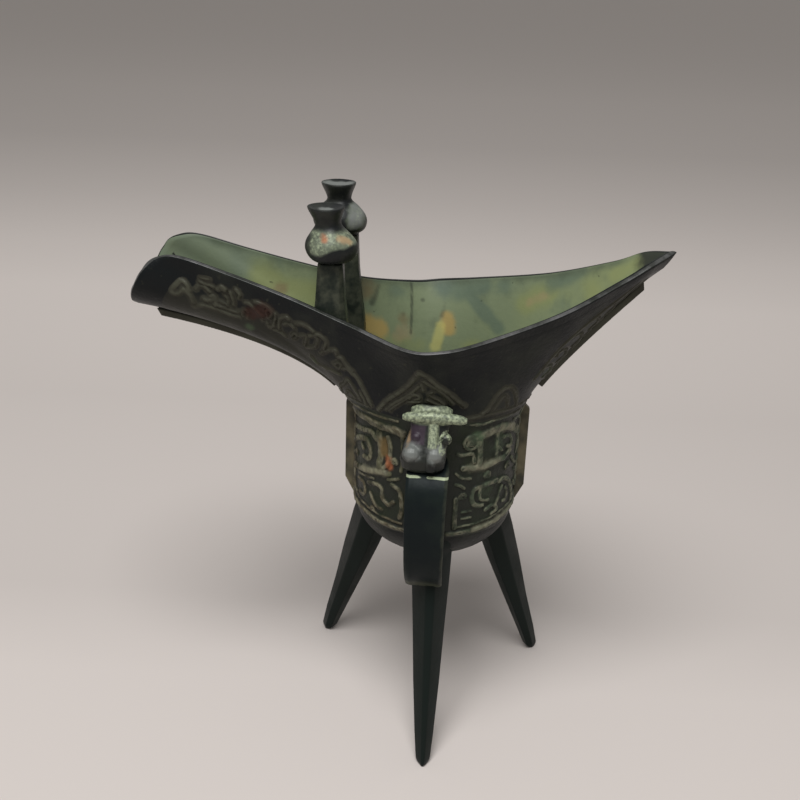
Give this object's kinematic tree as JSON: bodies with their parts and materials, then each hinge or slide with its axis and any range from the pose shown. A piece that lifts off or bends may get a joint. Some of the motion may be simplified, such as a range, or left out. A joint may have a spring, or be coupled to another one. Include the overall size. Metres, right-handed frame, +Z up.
{
  "type": "ritual wine cup",
  "caption": "Cast bronze pouring cup on splayed blade legs, with a channel spout, pointed tail, capped posts in the rim, flanged belly and ox-head strap handle.",
  "frame": {"origin": "on the table under the middle of the cup's box", "axes": "+Z up, +X towards the pointed tail, -X towards the spout, -Y towards the handle"},
  "size_m": [0.1868, 0.0948, 0.1967],
  "materials": {
    "bronze_dark": "near-black patina, satin",
    "bronze_band": "olive brown patina, satin",
    "bronze_leg": "black patina, semi-gloss",
    "bronze_pale": "pale green worn patina"
  },
  "bodies": {
    "root": {"cup_body": "bronze_dark", "spout_keel": "bronze_dark", "tail_keel": "bronze_dark", "belly_flange_spout": "bronze_band", "belly_flange_tail": "bronze_band", "belly_flange_rear": "bronze_band", "leg_front": "bronze_leg", "leg_rear_left": "bronze_leg", "leg_rear_right": "bronze_leg", "handle_strap": "bronze_leg", "ox_head": "bronze_pale", "post_front": "bronze_dark", "post_rear": "bronze_dark", "post_cap_front": "bronze_pale", "post_cap_rear": "bronze_dark"}
  },
  "joints": []
}
